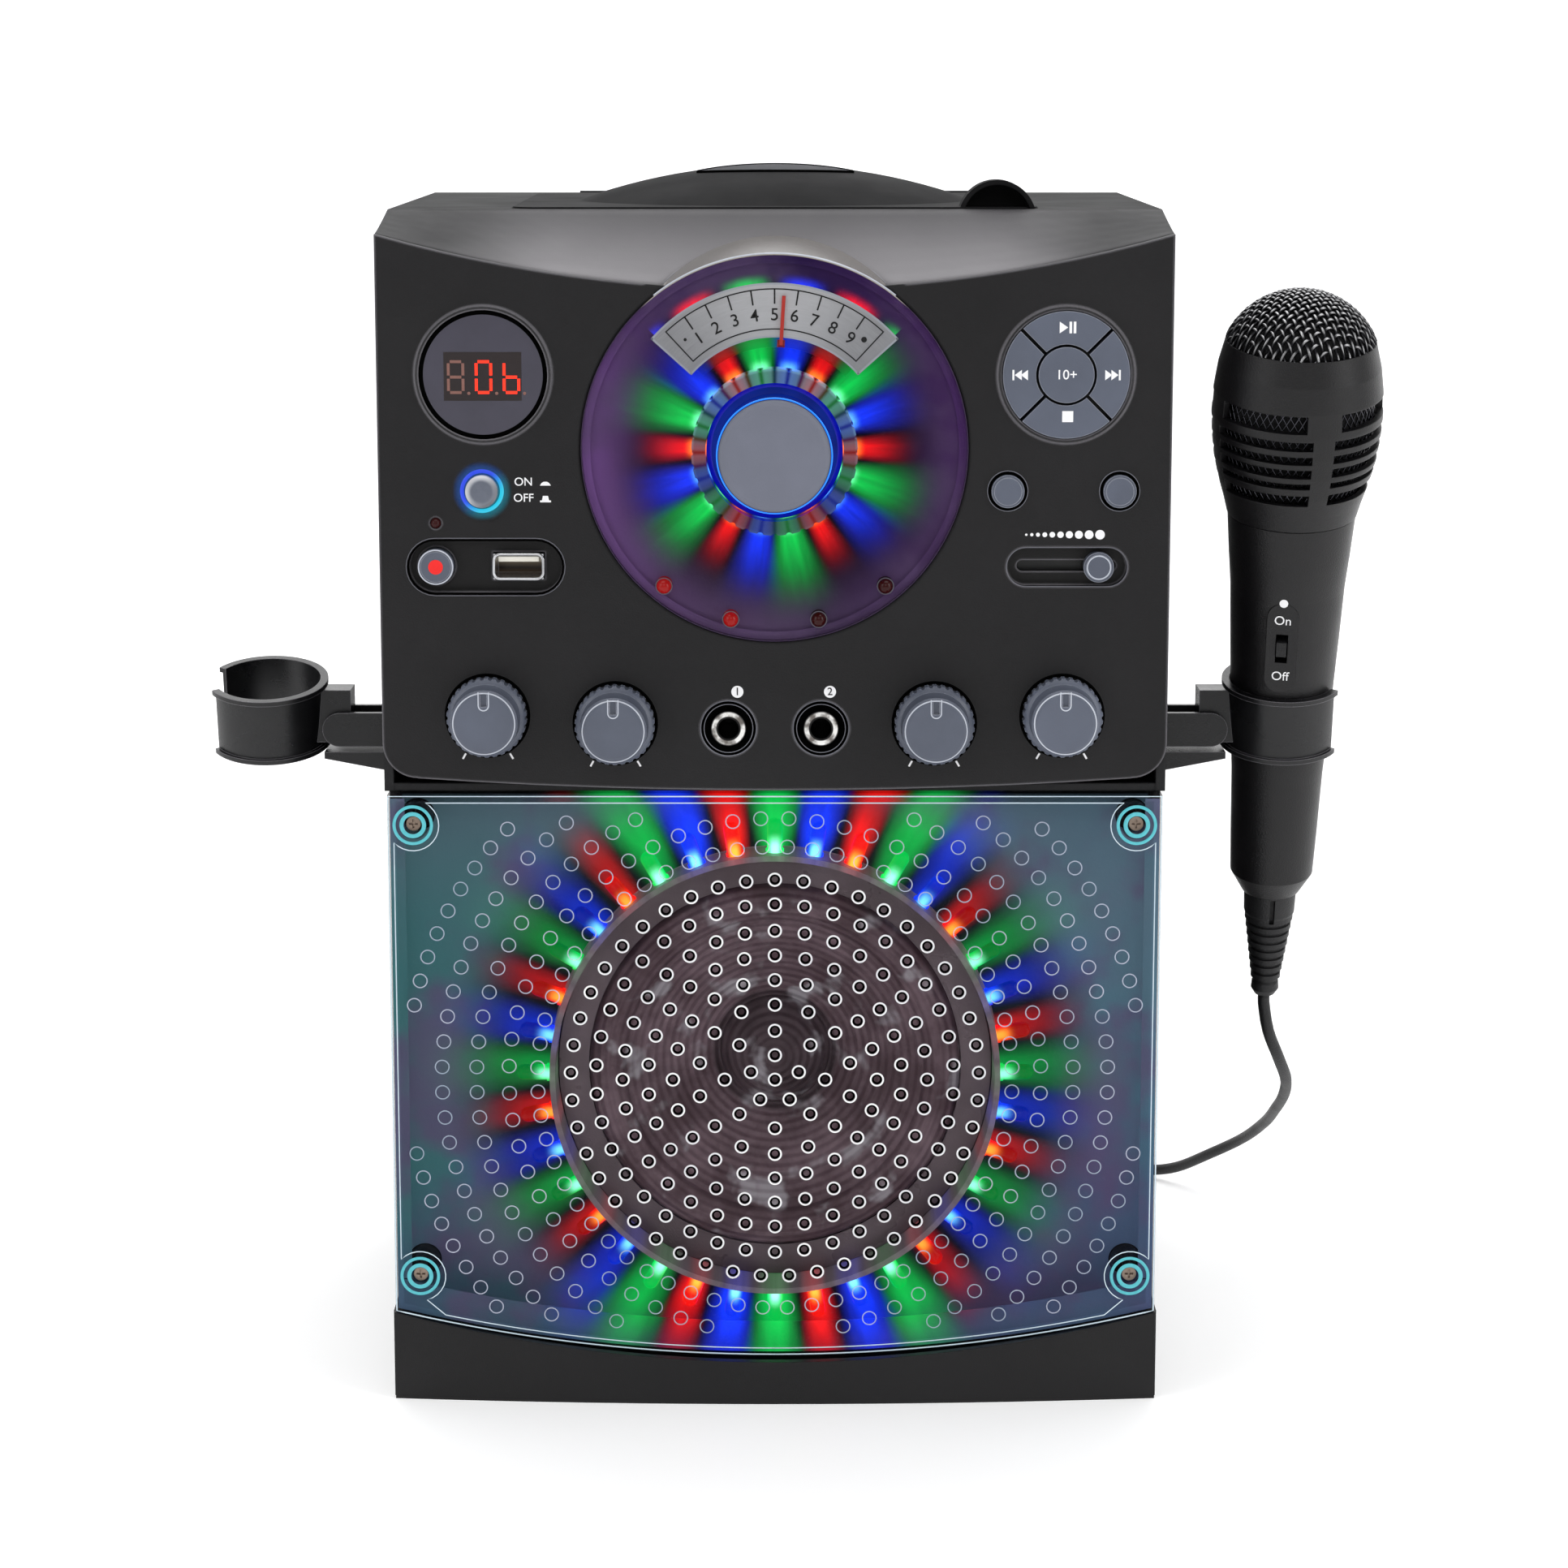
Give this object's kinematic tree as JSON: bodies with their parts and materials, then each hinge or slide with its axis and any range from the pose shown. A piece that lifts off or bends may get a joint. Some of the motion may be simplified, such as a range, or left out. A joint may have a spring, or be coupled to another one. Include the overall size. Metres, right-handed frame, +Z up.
{
  "type": "karaoke machine with disc tray",
  "caption": "Tabletop karaoke machine: lidded disc deck on top, volume dial and controls on the fascia, lit speaker behind a clear cover, and side holders with a corded microphone.",
  "frame": {"origin": "middle of the cabinet's base, on the table", "axes": "+Z up, +X to the user's right, -Y towards the user: the fascia's face is at Y = -110 mm and the rear cover at Y = +110 mm"},
  "size_m": [0.3718, 0.32, 0.3914],
  "materials": {
    "fascia_black": "satin moulded",
    "brow_black": "gloss moulded",
    "case_black": "fine texture",
    "plinth_black": "gloss moulded",
    "deck_black": "gloss moulded",
    "smoke_clear": "polished clear",
    "screw_steel": "dark plated",
    "reflector_violet": "faceted mirror-like",
    "board_green": "solder mask",
    "lamp_clear": "clear lens",
    "speaker_steel": "satin",
    "cone_paper": "pressed paper",
    "gauge_silver": "silver film",
    "needle_red": "satin",
    "knob_grey": "satin metallic",
    "skirt_clear": "polished clear",
    "window_red": "polished tinted",
    "plated_steel": "polished",
    "lamp_red": "clear lens",
    "socket_black": "satin",
    "window_clear": "polished clear",
    "rod_steel": "ground",
    "hub_white": "satin",
    "sled_grey": "satin",
    "mic_black": "satin paint",
    "mesh_steel": "woven wire, black",
    "boot_rubber": "matte",
    "cord_rubber": "matte"
  },
  "bodies": {
    "cabinet": {"front_fascia": "fascia_black", "top_brow": "brow_black", "cabinet_body": "case_black", "rear_cover": "case_black", "base_plinth": "plinth_black", "base_plate": "case_black", "disc_deck": "deck_black", "speaker_cover": "smoke_clear", "cover_screws": "screw_steel", "reflector_panel": "reflector_violet", "lamp_ring_board": "board_green", "cover_lamps": "lamp_clear", "speaker_basket": "speaker_steel", "speaker_cone": "cone_paper", "dial_cover": "smoke_clear", "dial_reflector": "reflector_violet", "dial_lamps": "lamp_clear", "gauge_plate": "gauge_silver", "display_window": "window_red", "usb_socket": "plated_steel", "mic_jacks": "plated_steel", "status_lamps": "lamp_red", "control_board": "board_green", "main_board": "board_green", "rear_sockets": "socket_black", "hinge_pin": "rod_steel", "spindle_motor": "rod_steel", "sled_rods": "rod_steel", "holder_brackets": "case_black", "right_holder": "case_black", "mic_cord": "cord_rubber", "mic_cord_coil": "cord_rubber", "mic_plug": "plated_steel"},
    "needle": {"gauge_needle": "needle_red"},
    "volume": {"volume_knob": "knob_grey", "knob_skirt": "skirt_clear"},
    "voice_control": {"voice_knob": "knob_grey"},
    "balance_control": {"balance_knob": "knob_grey"},
    "echo_control": {"echo_knob": "knob_grey"},
    "mic_volume_control": {"mic_volume_knob": "knob_grey"},
    "power_key": {"power_button": "knob_grey"},
    "record_key": {"record_button": "knob_grey"},
    "source_key": {"source_button": "knob_grey"},
    "repeat_key": {"repeat_button": "knob_grey"},
    "play_key": {"play_button": "knob_grey"},
    "stop_key": {"stop_button": "knob_grey"},
    "back_key": {"back_button": "knob_grey"},
    "forward_key": {"forward_button": "knob_grey"},
    "skip_key": {"skip_button": "knob_grey"},
    "light_control": {"light_slider": "knob_grey"},
    "lid": {"disc_lid": "deck_black", "lid_window": "window_clear"},
    "disc_drive": {"turntable": "hub_white"},
    "sled": {"pickup_sled": "sled_grey"},
    "left_clip": {"left_holder": "case_black"},
    "microphone": {"mic_handle": "mic_black", "mic_head": "mic_black", "mic_mesh": "mesh_steel", "mic_boot": "boot_rubber"},
    "talk_switch": {"mic_switch": "knob_grey"}
  },
  "joints": [
    {"name": "lid_hinge", "type": "hinge", "parent": "cabinet", "child": "lid", "pos_m": [0, 0.098, 0.3773], "axis": [-1, 0, 0], "range_deg": [0, 75]},
    {"name": "disc_spin", "type": "hinge", "parent": "cabinet", "child": "disc_drive", "pos_m": [0, 0.016, 0.3665], "axis": [0, 0, 1], "continuous": true},
    {"name": "sled_slide", "type": "slide", "parent": "cabinet", "child": "sled", "axis": [1, 0, 0], "range_m": [0, 0.028]},
    {"name": "volume_turn", "type": "hinge", "parent": "cabinet", "child": "volume", "pos_m": [0, -0.12, 0.307], "axis": [0, 1, 0], "range_deg": [-148, 122]},
    {"name": "needle_turn", "type": "hinge", "parent": "cabinet", "child": "needle", "pos_m": [0, -0.104, 0.307], "axis": [0, 1, 0], "range_deg": [-40, 33]},
    {"name": "voice_turn", "type": "hinge", "parent": "cabinet", "child": "voice_control", "pos_m": [-0.09, -0.118, 0.2234], "axis": [0, 1, 0], "range_deg": [-150, 150]},
    {"name": "balance_turn", "type": "hinge", "parent": "cabinet", "child": "balance_control", "pos_m": [-0.05, -0.118, 0.221], "axis": [0, 1, 0], "range_deg": [-150, 150]},
    {"name": "echo_turn", "type": "hinge", "parent": "cabinet", "child": "echo_control", "pos_m": [0.05, -0.118, 0.221], "axis": [0, 1, 0], "range_deg": [-150, 150]},
    {"name": "mic_volume_turn", "type": "hinge", "parent": "cabinet", "child": "mic_volume_control", "pos_m": [0.09, -0.118, 0.2234], "axis": [0, 1, 0], "range_deg": [-150, 150]},
    {"name": "power_press", "type": "slide", "parent": "cabinet", "child": "power_key", "axis": [0, 1, 0], "range_m": [0, 0.0015], "stiffness_N_per_m": 250},
    {"name": "record_press", "type": "slide", "parent": "cabinet", "child": "record_key", "axis": [0, 1, 0], "range_m": [0, 0.0015], "stiffness_N_per_m": 250},
    {"name": "source_press", "type": "slide", "parent": "cabinet", "child": "source_key", "axis": [0, 1, 0], "range_m": [0, 0.0015], "stiffness_N_per_m": 250},
    {"name": "repeat_press", "type": "slide", "parent": "cabinet", "child": "repeat_key", "axis": [0, 1, 0], "range_m": [0, 0.0015], "stiffness_N_per_m": 250},
    {"name": "play_press", "type": "slide", "parent": "cabinet", "child": "play_key", "axis": [0, 1, 0], "range_m": [0, 0.0015], "stiffness_N_per_m": 250},
    {"name": "stop_press", "type": "slide", "parent": "cabinet", "child": "stop_key", "axis": [0, 1, 0], "range_m": [0, 0.0015], "stiffness_N_per_m": 250},
    {"name": "back_press", "type": "slide", "parent": "cabinet", "child": "back_key", "axis": [0, 1, 0], "range_m": [0, 0.0015], "stiffness_N_per_m": 250},
    {"name": "forward_press", "type": "slide", "parent": "cabinet", "child": "forward_key", "axis": [0, 1, 0], "range_m": [0, 0.0015], "stiffness_N_per_m": 250},
    {"name": "skip_press", "type": "slide", "parent": "cabinet", "child": "skip_key", "axis": [0, 1, 0], "range_m": [0, 0.0015], "stiffness_N_per_m": 250},
    {"name": "light_slide", "type": "slide", "parent": "cabinet", "child": "light_control", "axis": [1, 0, 0], "range_m": [-0.0234, 0.0037]},
    {"name": "mic_lift", "type": "slide", "parent": "cabinet", "child": "microphone", "axis": [0, -0.2487, 0.9686], "range_m": [0, 0.12]},
    {"name": "talk_slide", "type": "slide", "parent": "microphone", "child": "talk_switch", "axis": [0, -0.2487, 0.9686], "range_m": [-0.002, 0.002]},
    {"name": "left_clip_fold", "type": "hinge", "parent": "cabinet", "child": "left_clip", "pos_m": [-0.1405, -0.065, 0.213], "axis": [0, 1, 0], "range_deg": [0, 65]}
  ],
  "couplings": [
    {"joint": "needle_turn", "follows": "volume_turn", "ratio": 0.2667}
  ]
}
